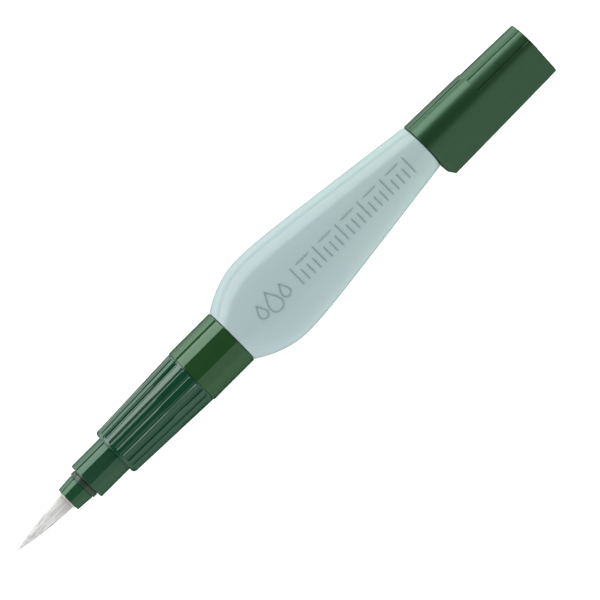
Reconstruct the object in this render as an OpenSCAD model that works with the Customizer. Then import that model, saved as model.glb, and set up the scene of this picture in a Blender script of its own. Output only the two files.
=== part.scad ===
// Refillable water brush pen, lying on its broad side with the cap posted on its tail.
// X runs along the pen with the bristles towards -X, and Z is up. The origin is under the middle
// of the pen's length, on the plane that the pen lies on.
// A station is a distance from the tip of the bristles, measured along the pen in millimetres.

/* [Bristles] */
// Length of the filaments in front of their collar
bristle_len = 13.8; // [9:0.1:16]
// Diameter of the filament bundle at its collar
bristle_d = 3.4; // [2.6:0.1:3.5]
// Length of the filaments held behind the front of the collar
bristle_held_len = 2.2; // [1.5:0.1:3]
// Wall of the collar around the filaments
bristle_collar_wall = 0.25; // [0.15:0.05:0.3]
// Length of collar that shows in front of the nose
bristle_collar_show = 0.3; // [0.1:0.05:0.8]
// Thickness of the fused bead behind the filaments
root_len = 1; // [0.6:0.1:1.5]
// Height of the bead's rim over the collar
root_lip = 0.15; // [0.1:0.05:0.2]

/* [Nose] */
// Length of the nose in front of the seal ring
nose_len = 3.7; // [3:0.1:6]
// Diameter at the front of the nose
nose_front_d = 5.3; // [5:0.1:5.6]
// Diameter at the back of the nose
nose_rear_d = 5.8; // [5.5:0.1:6.1]
// Diameter of the spigot that plugs into the front sleeve
nose_spigot_d = 5.2; // [5:0.1:5.4]
// Length of the spigot inside the front sleeve
nose_spigot_len = 4.8; // [3:0.1:7]
// Length of the seal ring
seal_len = 1.15; // [0.6:0.05:2]
// Outer diameter of the seal ring
seal_d = 6.24; // [6:0.02:6.6]

/* [Front sleeve] */
// Length of the part that the cap seats on
sleeve_len = 7.6; // [6:0.1:10]
// Diameter of the part that the cap seats on
sleeve_d = 8.14; // [7.6:0.02:8.5]
// Step down from the sleeve to the tube that runs on inside the grip
tube_step = 0.3; // [0.2:0.02:0.5]
// Bore of the tube around the feed
feed_bore_d = 3.3; // [2.8:0.1:3.8]

/* [Feed] */
// Diameter of the feed rod
feed_d = 2.2; // [1.8:0.1:2.6]
// Length of the flange that presses on the bristle root
feed_flange_len = 1; // [0.6:0.1:2]
// Length of the thick slotted tail of the feed rod
feed_tail_len = 4; // [2:0.1:6]
// Width of the slots that carry the water
feed_slot_w = 0.3; // [0.2:0.05:0.4]
// Length of the filter sponge
sponge_len = 3.5; // [2:0.1:5]
// Diameter of the filter sponge
sponge_d = 5; // [4.4:0.1:5.2]
// Length of the metering plug inside the tube
plug_body_len = 4.4; // [3:0.1:6]
// Length of the metering plug inside the tank's neck
plug_tail_len = 4.2; // [2:0.1:5]
// Diameter of the metering plug inside the tank's neck
plug_tail_d = 4.6; // [4:0.1:5]
// Diameter of the metering hole
plug_hole_d = 0.8; // [0.5:0.1:1.2]

/* [Grip] */
// Length of the fluted grip
grip_len = 20.6; // [17:0.1:25]
// Diameter at the front of the grip
grip_front_d = 10.5; // [10:0.1:11]
// Diameter at the back of the grip
grip_rear_d = 12; // [11.8:0.1:12.2]
// Radius of the rounded front edge of the grip
grip_edge_r = 0.7; // [0.3:0.1:0.9]
// Number of flutes
flute_count = 21; // [12:1:24]
// Radius of the cutter that makes a flute
flute_r = 0.42; // [0.3:0.02:0.5]
// Depth of a flute
flute_depth = 0.27; // [0.15:0.01:0.35]
// Plain length in front of the flutes
flute_front = 0.9; // [0.7:0.1:2]
// Plain length behind the flutes
flute_rear = 0.3; // [0.2:0.1:1]

/* [Coupling collar] */
// Length of the plain ring
ring_len = 10.9; // [9:0.1:14]
// Diameter of the plain ring
ring_d = 12.3; // [12.2:0.02:13]
// Length of the spigot that plugs into the grip
ring_spigot_len = 5; // [3:0.1:7]
// Diameter of the spigot that plugs into the grip
ring_spigot_d = 9.94; // [9.8:0.02:10.1]

/* [Neck and thread] */
// Length of the tank's neck
neck_len = 10.5; // [10:0.1:12]
// Step up from the tube inside the grip to the neck, which the gasket's rim seats on
neck_step = 0.53; // [0.4:0.01:0.6]
// Bore of the neck
neck_bore_d = 6.2; // [5.8:0.1:6.6]
// Thickness of the gasket in front of the neck
gasket_t = 0.9; // [0.5:0.1:1.4]
// Advance of the thread in one turn
thread_pitch = 2.2; // [1.8:0.1:2.6]
// Turns of thread on each piece
thread_turns = 2; // [1:0.25:2]
// Height of the thread over the neck
thread_depth = 0.55; // [0.4:0.05:0.6]
// Plain length of neck in front of its thread
thread_lead = 2.4; // [2:0.1:3]

/* [Tank] */
// Length of the tank between the collar and the cap
tank_len = 51.1; // [42:0.1:62]
// Width of the tank at its belly
tank_w = 19.46; // [16:0.02:24]
// Thickness of the tank at its belly
tank_t = 12.7; // [12.4:0.1:15]
// Distance from the front of the tank to its belly
belly_at = 11; // [9:0.1:16]
// Diameter at the rear of the tank
tank_rear_d = 10.2; // [9.9:0.1:11]
// Wall of the tank
tank_wall = 0.9; // [0.7:0.05:1.1]
// Radius of the rounded rear edge of the tank
tank_edge_r = 0.5; // [0.2:0.1:0.8]
// Squareness of the belly's section, where 2 is an ellipse
belly_power = 2.4; // [2:0.05:3]
// Roundness of the belly's rear flank, as a share of the flank
belly_round = 0.14; // [0.05:0.01:0.3]

/* [Cap] */
// Length of the cap
cap_len = 28.4; // [26:0.1:34]
// Diameter of the round part at the mouth
cap_mouth_d = 10.16; // [9.9:0.02:10.6]
// Diameter of the round part at the closed end
cap_end_d = 8.8; // [8.7:0.1:9.6]
// Reach of the lobe from the axis at the mouth
lobe_mouth_reach = 8.3; // [7:0.1:9.5]
// Reach of the lobe from the axis at the closed end
lobe_end_reach = 7.9; // [6.6:0.1:9]
// Radius of the lobe's rounded tip
lobe_tip_r = 1.3; // [1:0.1:1.8]
// Length of the chamfer on the lobe's front corner
lobe_chamfer_len = 1; // [0.5:0.1:2]
// Height of the chamfer on the lobe's front corner
lobe_chamfer_h = 1.4; // [0.5:0.1:2]
// Thickness of the closed end
cap_end_wall = 1.1; // [0.8:0.1:2]
// Length of the post on the tank's tail
post_len = 7.5; // [6:0.1:9]
// Number of finger flats on the cap's rear half
flat_count = 5; // [3:1:7]
// Angle between neighbouring finger flats
flat_step = 36; // [30:1:36]
// Length of the finger flats
flat_len = 13.9; // [10:0.1:15]
// Wall of the liner
liner_wall = 0.5; // [0.4:0.05:0.6]
// Thickness of the liner's closed end
liner_end_wall = 0.6; // [0.4:0.1:1]

/* [Clearances] */
// Radial gap between pieces that are pressed together
press_gap = 0.02; // [0.01:0.01:0.04]
// Radial gap between the cap's bore and the post
cap_gap = 0.05; // [0.03:0.01:0.08]
// Gap between the two threads and between the neck and its socket
thread_gap = 0.15; // [0.1:0.01:0.2]
// Gap between the end of the tank and the cap or the collar
seat_gap = 0.1; // [0.05:0.05:0.3]
// Gap between the liner's bore and the seal ring
liner_gap = 0.04; // [0.02:0.01:0.1]
// Gap between the post and the liner
liner_play = 0.6; // [0.2:0.1:1]
// Gap behind the nose's spigot, and around the gasket
end_play = 0.1; // [0.05:0.05:0.2]

/* [Hidden] */

$fn = 72;
leaf_green = [0.16, 0.36, 0.22];
grip_green = [0.13, 0.33, 0.23];
nose_green = [0.2, 0.4, 0.27];
seal_grey = [0.34, 0.42, 0.38];
tank_mint = [0.68, 0.78, 0.78];
bristle_white = [0.92, 0.91, 0.89];
feed_white = [0.86, 0.86, 0.84];
sponge_grey = [0.62, 0.64, 0.66];
plug_black = [0.12, 0.12, 0.13];

// Stations of the faces between the pieces, from the tip to the tail
s_collar = bristle_len;
s_nose = s_collar + bristle_collar_show;
s_root = s_collar + bristle_held_len;
s_feed = s_root + root_len;
s_seal = s_nose + nose_len;
s_sleeve = s_seal + seal_len;
s_grip = s_sleeve + sleeve_len;
s_ring = s_grip + grip_len;
s_tank = s_ring + ring_len;
s_neck = s_tank - neck_len;
s_gasket = s_neck - gasket_t;
s_plug = s_gasket - plug_body_len;
s_sponge = s_plug - sponge_len;
s_tank_end = s_tank + tank_len;
s_cap = s_tank_end + seat_gap;
s_end = s_cap + cap_len;
axis_h = max(tank_t, ring_d) / 2;

tube_d = sleeve_d - 2 * tube_step;
neck_d = tube_d + 2 * neck_step;

collar_r = bristle_d / 2 + press_gap + bristle_collar_wall;
root_r = collar_r + root_lip;
spigot_bore_r = root_r + press_gap;
sleeve_bore_r = nose_spigot_d / 2 + press_gap;
plug_bore_r = sponge_d / 2 + press_gap;
grip_bore_r = tube_d / 2 + press_gap;
thread_crest_r = neck_d / 2 + thread_depth;
socket_r = thread_crest_r + thread_gap;
socket_front_r = neck_d / 2 + thread_gap;
thread_crest_w = thread_pitch * 0.18;
thread_base_w = thread_pitch * 0.4;
cap_bore_r = sleeve_d / 2 + cap_gap;
liner_bore_r = seal_d / 2 + liner_gap;
liner_r = liner_bore_r + liner_wall;
liner_at = post_len - seat_gap + liner_play;
liner_len = cap_len - cap_end_wall - liner_at;
post_bore_r = sleeve_d / 2 - tank_wall;
flat_at = cap_len - flat_len;
slice_t = 0.01;
sink = 0.5;

// Place something on the pen's axis with its +Z along the pen, at a station
module on_axis(station) {
    translate([station - s_end / 2, 0, axis_h])
        rotate([0, 90, 0])
            children();
}

// Turned tube between two heights
module tube(z0, z1, outer_r, bore_r) {
    translate([0, 0, z0])
        difference() {
            cylinder(h = z1 - z0, r = outer_r);
            translate([0, 0, -1])
                cylinder(h = z1 - z0 + 2, r = bore_r);
        }
}

// Points of an arc in an outline of radius and height
function arc(r, z, edge_r, from, to, steps = 5) = [
    for (i = [0:steps])
        let (angle = from + (to - from) * i / steps)
            [r + edge_r * cos(angle), z + edge_r * sin(angle)]
];

// Radius of the bundle at a distance t along it, 0 at the tip and 1 at the collar
function bundle_r(t) = bristle_d / 2 * (1 - pow(1 - t, 1.9));

module bristle_bundle() {
    steps = 14;
    outline = concat(
        [for (i = [0:steps]) [bundle_r(i / steps), bristle_len * i / steps]],
        [[bristle_d / 2, bristle_len + bristle_held_len], [0, bristle_len + bristle_held_len]]
    );
    color(bristle_white)
        on_axis(0)
            rotate_extrude()
                polygon(outline);
}

module bristle_collar() {
    color(feed_white)
        on_axis(s_collar)
            tube(0, bristle_held_len, collar_r, bristle_d / 2 + press_gap);
}

module bristle_root() {
    color(feed_white)
        on_axis(s_root)
            tube(0, root_len, root_r, feed_d / 4);
}

module nose_cone() {
    edge_r = 0.2;
    spigot_end = nose_len + seal_len + nose_spigot_len;
    step_at = s_root - s_nose;
    outline = concat(
        [[collar_r + press_gap, 0]],
        arc(nose_front_d / 2 - edge_r, edge_r, edge_r, -90, 0),
        [
            [nose_rear_d / 2, nose_len],
            [nose_spigot_d / 2, nose_len],
            [nose_spigot_d / 2, spigot_end],
            [spigot_bore_r, spigot_end],
            [spigot_bore_r, step_at],
            [collar_r + press_gap, step_at]
        ]
    );
    color(nose_green)
        on_axis(s_nose)
            rotate_extrude()
                polygon(outline);
}

module seal_ring() {
    color(seal_grey)
        on_axis(s_seal)
            tube(0, seal_len, seal_d / 2, sleeve_bore_r);
}

module front_sleeve() {
    edge_r = 0.3;
    bore_step = nose_spigot_len + end_play;
    tube_end = s_gasket - s_sleeve;
    sponge_at = s_sponge - s_sleeve;
    outline = concat(
        [[sleeve_bore_r, 0]],
        arc(sleeve_d / 2 - edge_r, edge_r, edge_r, -90, 0),
        [
            [sleeve_d / 2, sleeve_len],
            [tube_d / 2, sleeve_len],
            [tube_d / 2, tube_end],
            [plug_bore_r, tube_end],
            [plug_bore_r, sponge_at],
            [feed_bore_d / 2, sponge_at],
            [feed_bore_d / 2, bore_step],
            [sleeve_bore_r, bore_step]
        ]
    );
    color(leaf_green)
        on_axis(s_sleeve)
            rotate_extrude()
                polygon(outline);
}

module feed_core() {
    core_len = s_sponge - s_feed;
    tail_r = feed_bore_d / 2 - press_gap;
    color(feed_white)
        on_axis(s_feed)
            difference() {
                union() {
                    cylinder(h = core_len, r = feed_d / 2);
                    cylinder(h = feed_flange_len, r = root_r);
                    translate([0, 0, core_len - feed_tail_len])
                        cylinder(h = feed_tail_len, r = tail_r);
                }
                for (turn = [0, 120, 240])
                    rotate([0, 0, turn])
                        translate([feed_d / 4, -feed_slot_w / 2, -1])
                            cube([root_r, feed_slot_w, core_len + 2]);
            }
}

module filter_sponge() {
    color(sponge_grey)
        on_axis(s_sponge)
            cylinder(h = sponge_len, r = sponge_d / 2);
}

module metering_plug() {
    plug_len = plug_body_len + gasket_t + plug_tail_len;
    funnel_len = 1.5;
    funnel_wall = 0.5;
    color(plug_black)
        on_axis(s_plug)
            difference() {
                union() {
                    cylinder(h = plug_body_len, r = sponge_d / 2);
                    cylinder(h = plug_len, r = plug_tail_d / 2);
                }
                translate([0, 0, -1])
                    cylinder(h = plug_len + 2, r = plug_hole_d / 2);
                translate([0, 0, plug_len - funnel_len])
                    cylinder(h = funnel_len + 0.1, r1 = plug_hole_d / 2, r2 = plug_tail_d / 2 - funnel_wall);
            }
}

module grip_sleeve() {
    taper = atan((grip_rear_d - grip_front_d) / 2 / grip_len);
    cutter_at = grip_front_d / 2 - flute_depth + flute_r;
    spigot_at = grip_len - ring_spigot_len;
    flute_len = grip_len - flute_front - flute_rear;
    outline = concat(
        [[grip_bore_r, 0]],
        arc(grip_front_d / 2 - grip_edge_r, grip_edge_r, grip_edge_r, -90, 0),
        [
            [grip_rear_d / 2, grip_len],
            [ring_spigot_d / 2 + press_gap, grip_len],
            [ring_spigot_d / 2 + press_gap, spigot_at],
            [grip_bore_r, spigot_at]
        ]
    );
    color(grip_green)
        on_axis(s_grip)
            difference() {
                rotate_extrude()
                    polygon(outline);
                for (i = [0:flute_count - 1])
                    rotate([0, 0, i * 360 / flute_count])
                        translate([cutter_at, 0, 0])
                            rotate([0, taper, 0])
                                translate([0, 0, flute_front])
                                    cylinder(h = flute_len, r = flute_r, $fn = 24);
            }
}

// Ridge that winds round the axis, tapering off at both ends. The base is sunk into its wall.
module thread_ridge(base_r, crest_r) {
    steps = 36;
    last = steps * thread_turns;
    base_sink = base_r < crest_r ? -0.1 : 0.1;
    run_out = 5;
    lowest = 0.1;
    section = [
        for (i = [0:last])
            let (
                angle = 360 * i / steps,
                z = thread_pitch * i / steps,
                rise = min(1, lowest + min(i, last - i) / run_out),
                tip_r = base_r + (crest_r - base_r) * rise,
                base = [base_r + base_sink, thread_base_w / 2],
                crest = [tip_r, thread_crest_w / 2],
                near = base_r < crest_r ? base : crest,
                far = base_r < crest_r ? crest : base
            )
                each [
                    [near[0] * cos(angle), near[0] * sin(angle), z - near[1]],
                    [far[0] * cos(angle), far[0] * sin(angle), z - far[1]],
                    [far[0] * cos(angle), far[0] * sin(angle), z + far[1]],
                    [near[0] * cos(angle), near[0] * sin(angle), z + near[1]]
                ]
    ];
    sides = [
        for (i = [0:last - 1], k = [0:3])
            let (
                a = 4 * i + k,
                b = 4 * i + (k + 1) % 4
            )
                each [[a, b + 4, a + 4], [a, b, b + 4]]
    ];
    ends = [
        [0, 2, 1],
        [0, 3, 2],
        [4 * last, 4 * last + 1, 4 * last + 2],
        [4 * last, 4 * last + 2, 4 * last + 3]
    ];
    polyhedron(points = section, faces = concat(sides, ends));
}

module coupling_collar() {
    socket_at = s_gasket - s_ring;
    widen_at = s_neck + thread_lead - thread_base_w - s_ring;
    edge_r = 0.15;
    rear = ring_len - seat_gap;
    outline = concat(
        [
            [grip_bore_r, -ring_spigot_len],
            [ring_spigot_d / 2, -ring_spigot_len],
            [ring_spigot_d / 2, 0]
        ],
        arc(ring_d / 2 - edge_r, edge_r, edge_r, -90, 0),
        arc(ring_d / 2 - edge_r, rear - edge_r, edge_r, 0, 90),
        [
            [socket_r, rear],
            [socket_r, widen_at],
            [socket_front_r, widen_at],
            [socket_front_r, socket_at],
            [grip_bore_r, socket_at]
        ]
    );
    color(leaf_green)
        on_axis(s_ring)
            union() {
                rotate_extrude()
                    polygon(outline);
                translate([0, 0, s_neck + thread_lead + thread_pitch / 2 - s_ring])
                    thread_ridge(socket_r, socket_front_r);
            }
}

module neck_gasket() {
    color(seal_grey)
        on_axis(s_gasket)
            tube(0, gasket_t, neck_d / 2 - end_play / 2, neck_bore_d / 2);
}

// Share of the way from the belly down to the tank's end, at a height z above the tank's front
function fall(z) =
    z < belly_at
        ? pow(1 - z / belly_at, 2)
        : let (t = (z - belly_at) / (tank_len - belly_at))
            (sqrt(t * t + belly_round * belly_round) - belly_round)
                / (sqrt(1 + belly_round * belly_round) - belly_round);

// Half of a size of the tank that is full at the belly
function half_size(z, full) =
    let (end_d = z < belly_at ? ring_d : tank_rear_d)
        full / 2 - (full - end_d) / 2 * fall(z);

// Power of the section's outline: round at both ends and squarer at the belly
function section_power(z) =
    2 + (belly_power - 2) * (half_size(z, tank_w) - half_size(z, tank_t)) * 2 / (tank_w - tank_t);

function signed_pow(value, power) = sign(value) * pow(abs(value), power);

// Closed skin of the tank's bulb, drawn in by a wall and shortened by it at both ends
module tank_skin(inset, around, front_steps, rear_steps) {
    top = tank_len - inset;
    edge_r = inset > 0 ? 0 : tank_edge_r;
    edge_steps = inset > 0 ? 0 : 3;
    heights = concat(
        [for (i = [0:front_steps - 1]) inset + (belly_at - inset) * i / front_steps],
        [for (i = [0:rear_steps]) belly_at + (top - edge_r - belly_at) * i / rear_steps]
    );
    edge = edge_steps == 0
        ? []
        : [for (i = [1:edge_steps]) top - edge_r + edge_r * sin(90 * i / edge_steps)];
    rows = concat(heights, edge);
    last = len(rows) - 1;
    rings = [
        for (i = [0:last], k = [0:around - 1])
            let (
                z = rows[i],
                angle = 360 * k / around,
                past = max(0, z - (top - edge_r)),
                draw = inset + edge_r - sqrt(max(0, edge_r * edge_r - past * past)),
                power = 2 / section_power(z)
            )
                [
                    (half_size(z, tank_t) - draw) * signed_pow(cos(angle), power),
                    (half_size(z, tank_w) - draw) * signed_pow(sin(angle), power),
                    z
                ]
    ];
    points = concat(rings, [[0, 0, rows[0]], [0, 0, rows[last]]]);
    front_hub = len(rings);
    sides = [
        for (i = [0:last - 1], k = [0:around - 1])
            let (
                a = around * i + k,
                b = around * i + (k + 1) % around
            )
                each [[a, a + around, b + around], [a, b + around, b]]
    ];
    caps = [
        for (k = [0:around - 1])
            let (next = (k + 1) % around)
                each [
                    [front_hub, k, next],
                    [front_hub + 1, around * last + next, around * last + k]
                ]
    ];
    polyhedron(points = points, faces = concat(sides, caps));
}

module tank_shell() {
    post_r = sleeve_d / 2;
    post_edge = 0.3;
    color(tank_mint)
        on_axis(s_tank)
            difference() {
                union() {
                    tank_skin(0, 48, 9, 16);
                    translate([0, 0, -neck_len])
                        cylinder(h = neck_len + sink, r = neck_d / 2);
                    translate([0, 0, thread_lead - neck_len])
                        thread_ridge(neck_d / 2, thread_crest_r);
                    translate([0, 0, tank_len - sink])
                        cylinder(h = post_len - post_edge + sink, r = post_r);
                    translate([0, 0, tank_len + post_len - post_edge])
                        cylinder(h = post_edge, r1 = post_r, r2 = post_r - post_edge);
                }
                tank_skin(tank_wall, 36, 6, 12);
                translate([0, 0, -neck_len - sink])
                    cylinder(h = neck_len + tank_wall + 2 * sink, r = neck_bore_d / 2);
                translate([0, 0, tank_len - tank_wall - sink])
                    cylinder(h = post_len + sink, r = post_bore_r);
            }
}

// Thin slice across the cap: the round part and the lobe's tip
module cap_slice(z, round_r, reach, tip_r) {
    translate([0, 0, z])
        linear_extrude(slice_t) {
            circle(round_r, $fn = 64);
            translate([0, tip_r - reach])
                circle(tip_r, $fn = 32);
        }
}

module cap_shell() {
    mouth_r = cap_mouth_d / 2;
    end_r = cap_end_d / 2;
    edge = 0.25;
    taper = atan((mouth_r - end_r) / cap_len);
    flat_r = mouth_r - (mouth_r - end_r) * flat_at / cap_len;
    flat_depth_r = flat_r * cos(flat_step / 2);
    first_flat = -flat_step * (flat_count - 1) / 2;
    color(leaf_green)
        on_axis(s_cap)
            difference() {
                hull() {
                    cap_slice(0, mouth_r - edge, lobe_mouth_reach - lobe_chamfer_h, lobe_tip_r);
                    cap_slice(edge, mouth_r, lobe_mouth_reach - lobe_chamfer_h + edge, lobe_tip_r);
                    cap_slice(lobe_chamfer_len, mouth_r, lobe_mouth_reach, lobe_tip_r);
                    cap_slice(cap_len - edge / 2, end_r, lobe_end_reach, lobe_tip_r);
                    cap_slice(cap_len - slice_t, end_r - edge / 2, lobe_end_reach - edge / 2, lobe_tip_r);
                }
                translate([0, 0, -1])
                    cylinder(h = liner_at + 1, r = cap_bore_r);
                translate([0, 0, liner_at])
                    cylinder(h = liner_len, r = liner_r + press_gap);
                for (i = [0:flat_count - 1])
                    rotate([0, 0, 90 + first_flat + i * flat_step])
                        translate([flat_depth_r, -flat_r, flat_at])
                            rotate([0, -taper, 0])
                                cube([flat_r, 2 * flat_r, cap_len]);
            }
}

module cap_liner() {
    color(feed_white)
        on_axis(s_cap + liner_at)
            difference() {
                cylinder(h = liner_len, r = liner_r);
                translate([0, 0, -1])
                    cylinder(h = liner_len - liner_end_wall + 1, r = liner_bore_r);
            }
}

bristle_bundle();
bristle_collar();
bristle_root();
nose_cone();
seal_ring();
front_sleeve();
feed_core();
filter_sponge();
metering_plug();
grip_sleeve();
coupling_collar();
neck_gasket();
tank_shell();
cap_shell();
cap_liner();
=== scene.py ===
"""Looks of a refillable water brush pen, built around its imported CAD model. Lengths are in metres."""
import math
import random

import bmesh
import bpy
from mathutils import Matrix, Vector


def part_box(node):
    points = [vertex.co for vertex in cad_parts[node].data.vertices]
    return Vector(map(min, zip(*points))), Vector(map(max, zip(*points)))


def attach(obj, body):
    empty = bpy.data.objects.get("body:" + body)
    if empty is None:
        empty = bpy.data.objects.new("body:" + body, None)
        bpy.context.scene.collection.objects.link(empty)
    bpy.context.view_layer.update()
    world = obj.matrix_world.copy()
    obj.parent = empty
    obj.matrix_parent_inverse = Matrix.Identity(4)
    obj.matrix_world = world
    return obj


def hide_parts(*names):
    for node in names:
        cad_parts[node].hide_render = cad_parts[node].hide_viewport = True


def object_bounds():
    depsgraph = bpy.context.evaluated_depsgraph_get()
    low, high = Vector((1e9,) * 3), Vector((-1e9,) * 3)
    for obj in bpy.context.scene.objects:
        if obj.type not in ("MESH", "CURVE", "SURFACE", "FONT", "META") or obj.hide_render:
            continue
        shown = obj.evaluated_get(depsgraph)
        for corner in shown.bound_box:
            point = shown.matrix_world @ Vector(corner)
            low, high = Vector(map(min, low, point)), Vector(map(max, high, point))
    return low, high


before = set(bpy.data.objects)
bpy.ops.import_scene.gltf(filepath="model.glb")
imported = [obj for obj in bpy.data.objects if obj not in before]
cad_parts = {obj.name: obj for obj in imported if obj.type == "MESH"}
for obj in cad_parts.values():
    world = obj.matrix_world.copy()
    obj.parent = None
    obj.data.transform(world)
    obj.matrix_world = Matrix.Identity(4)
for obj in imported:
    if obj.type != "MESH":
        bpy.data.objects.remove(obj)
cad_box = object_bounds()

MM = 0.001

# ---------------------------------------------------------------- places, from the frame

COLLAR_LO, COLLAR_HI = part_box("bristle_collar")
NOSE_LO, NOSE_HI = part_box("nose_cone")
SEAL_LO, SEAL_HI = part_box("seal_ring")
SLEEVE_LO, SLEEVE_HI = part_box("front_sleeve")
GRIP_LO, GRIP_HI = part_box("grip_sleeve")
RING_LO, RING_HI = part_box("coupling_collar")
GASKET_LO, GASKET_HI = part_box("neck_gasket")
TANK_LO, TANK_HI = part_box("tank_shell")
CAP_LO, CAP_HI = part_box("cap_shell")
LINER_LO, LINER_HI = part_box("cap_liner")
BRISTLE_LO, BRISTLE_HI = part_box("bristle_bundle")
ROOT_LO, ROOT_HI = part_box("bristle_root")

AXIS_Z = (SLEEVE_LO.z + SLEEVE_HI.z) / 2
SEAT_GAP = 0.1 * MM
FIT_GAP = 0.02 * MM


def half_width(low, high):
    return (high.y - low.y) / 2


# ---------------------------------------------------------------- mesh helpers


def add_object(name, mesh, sharp_deg=32):
    """Object made of a finished bmesh, with smooth faces and its creases kept sharp."""
    bmesh.ops.remove_doubles(mesh, verts=mesh.verts, dist=1e-7)
    bmesh.ops.recalc_face_normals(mesh, faces=mesh.faces)
    data = bpy.data.meshes.new(name)
    mesh.to_mesh(data)
    mesh.free()
    data.polygons.foreach_set("use_smooth", [True] * len(data.polygons))
    data.set_sharp_from_angle(angle=math.radians(sharp_deg))
    piece = bpy.data.objects.new(name, data)
    bpy.context.scene.collection.objects.link(piece)
    return piece


def bridge(mesh, rings, close_path=False, pole_start=None, pole_end=None):
    """Faces between rings that hold the same number of points."""
    rows = [[mesh.verts.new(point) for point in ring] for ring in rings]
    pairs = list(zip(rows, rows[1:]))
    if close_path:
        pairs.append((rows[-1], rows[0]))
    for first, second in pairs:
        count = len(first)
        for k in range(count):
            n = (k + 1) % count
            mesh.faces.new((first[k], first[n], second[n], second[k]))
    for pole, row in ((pole_start, rows[0]), (pole_end, rows[-1])):
        if pole is not None:
            hub = mesh.verts.new(pole)
            for k in range(len(row)):
                mesh.faces.new((hub, row[k], row[(k + 1) % len(row)]))


def fillet(corners, steps=5):
    """Points of an outline whose corners are (x, r, radius), with an arc at each corner that has a radius."""
    points = []
    count = len(corners)
    for i, (x, r, radius) in enumerate(corners):
        here = Vector((x, r))
        back = Vector(corners[i - 1][:2]) - here
        ahead = Vector(corners[(i + 1) % count][:2]) - here
        if radius <= 0:
            points.append((x, r))
            continue
        half = back.angle(ahead) / 2
        reach = min(radius / math.tan(half), 0.48 * min(back.length, ahead.length))
        radius = reach * math.tan(half)
        centre = here + (back.normalized() + ahead.normalized()).normalized() * radius / math.sin(half)
        start = here + back.normalized() * reach - centre
        end = here + ahead.normalized() * reach - centre
        turn = start.angle(end)
        for k in range(steps + 1):
            share = k / steps
            arm = (start * math.sin((1 - share) * turn) + end * math.sin(share * turn)) / math.sin(turn)
            points.append(tuple(centre + arm))
    return points


def support(points, longest=1.2 * MM, edge=0.04 * MM):
    """The same closed outline with points added near the ends of its long stretches, to keep them flat."""
    out = []
    count = len(points)
    for i, point in enumerate(points):
        a, b = Vector(point), Vector(points[(i + 1) % count])
        length = (b - a).length
        out.append(tuple(a))
        if length > 4 * edge:
            pieces = max(1, math.ceil(length / longest))
            shares = [edge / length] + [k / pieces for k in range(1, pieces)] + [1 - edge / length]
            out += [tuple(a.lerp(b, share)) for share in shares]
    return out


def circle(x, radius, around):
    return [
        (x, radius * math.cos(math.tau * k / around), AXIS_Z + radius * math.sin(math.tau * k / around))
        for k in range(around)
    ]


def turned(mesh, corners, around=144, steps=5):
    """Solid of revolution round the pen's axis, from the corners of its closed outline."""
    outline = support(fillet(corners, steps))
    bridge(mesh, [circle(x, r, around) for x, r in outline], close_path=True)


def thread(mesh, x_start, base_r, crest_r, pitch, turns, base_w, crest_w, sink):
    """Right-hand ridge that winds round the axis and tapers off at both ends."""
    steps = 72
    last = int(steps * turns)
    run_out = 14
    rings = []
    side = 1 if crest_r > base_r else -1
    for i in range(last + 1):
        angle = math.tau * i / steps
        x = x_start + pitch * i / steps
        rise = min(1, 0.05 + min(i, last - i) / run_out)
        tip = base_r + (crest_r - base_r) * rise
        mid = base_r + (crest_r - base_r) * rise * 0.82
        section = [
            (-base_w / 2, base_r - side * sink),
            (-base_w / 2, base_r),
            (-crest_w * 0.72, mid),
            (-crest_w * 0.36, tip),
            (crest_w * 0.36, tip),
            (crest_w * 0.72, mid),
            (base_w / 2, base_r),
            (base_w / 2, base_r - side * sink),
        ]
        rings.append([
            (x + dx, r * math.sin(angle), AXIS_Z - r * math.cos(angle)) for dx, r in section
        ])
    bridge(mesh, rings)
    for ring in (rings[0], rings[-1]):
        mesh.faces.new([mesh.verts.new(point) for point in ring])


def circles(outline, around):
    return [circle(x, r, around) for x, r in outline]


def quarter_turn(steps):
    """Pairs (1 - cos, 1 - sin) at even steps of a quarter turn, for an edge rounded ring by ring."""
    turns = [math.radians(90 * k / steps) for k in range(steps + 1)]
    return [(1 - math.cos(turn), 1 - math.sin(turn)) for turn in turns]


def every(start, stop, step):
    """Places from start, a step apart, that stay below stop."""
    places = []
    while start < stop:
        places.append(start)
        start += step
    return places


def smoothstep(low, high, value):
    t = min(1, max(0, (value - low) / (high - low)))
    return t * t * (3 - 2 * t)


def finish_piece(piece, body, slot, material, *nodes):
    piece.data.materials.clear()
    piece.data.materials.append(material)
    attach(piece, body)
    if nodes:
        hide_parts(*nodes)
    return piece


# ---------------------------------------------------------------- materials


def new_material(name):
    material = bpy.data.materials.new(name)
    material.use_nodes = True
    nodes = material.node_tree.nodes
    return material, nodes, material.node_tree.links, nodes["Principled BSDF"]


def noise(nodes, links, vector, scale, detail=4.0, roughness=0.55):
    node = nodes.new("ShaderNodeTexNoise")
    node.inputs["Scale"].default_value = scale
    node.inputs["Detail"].default_value = detail
    node.inputs["Roughness"].default_value = roughness
    links.new(vector, node.inputs["Vector"])
    return node.outputs["Fac"]


def ranged(nodes, links, value, from_low, from_high, to_low, to_high):
    node = nodes.new("ShaderNodeMapRange")
    node.interpolation_type = "SMOOTHSTEP"
    for socket, number in zip(("From Min", "From Max", "To Min", "To Max"),
                              (from_low, from_high, to_low, to_high)):
        node.inputs[socket].default_value = number
    links.new(value, node.inputs["Value"])
    return node.outputs["Result"]


def mixed(nodes, links, share, first, second):
    node = nodes.new("ShaderNodeMix")
    node.data_type = "RGBA"
    for socket, value in ((6, first), (7, second)):
        if isinstance(value, tuple):
            node.inputs[socket].default_value = (*value, 1)
        else:
            links.new(value, node.inputs[socket])
    links.new(share, node.inputs[0])
    return node.outputs[2]


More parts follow.
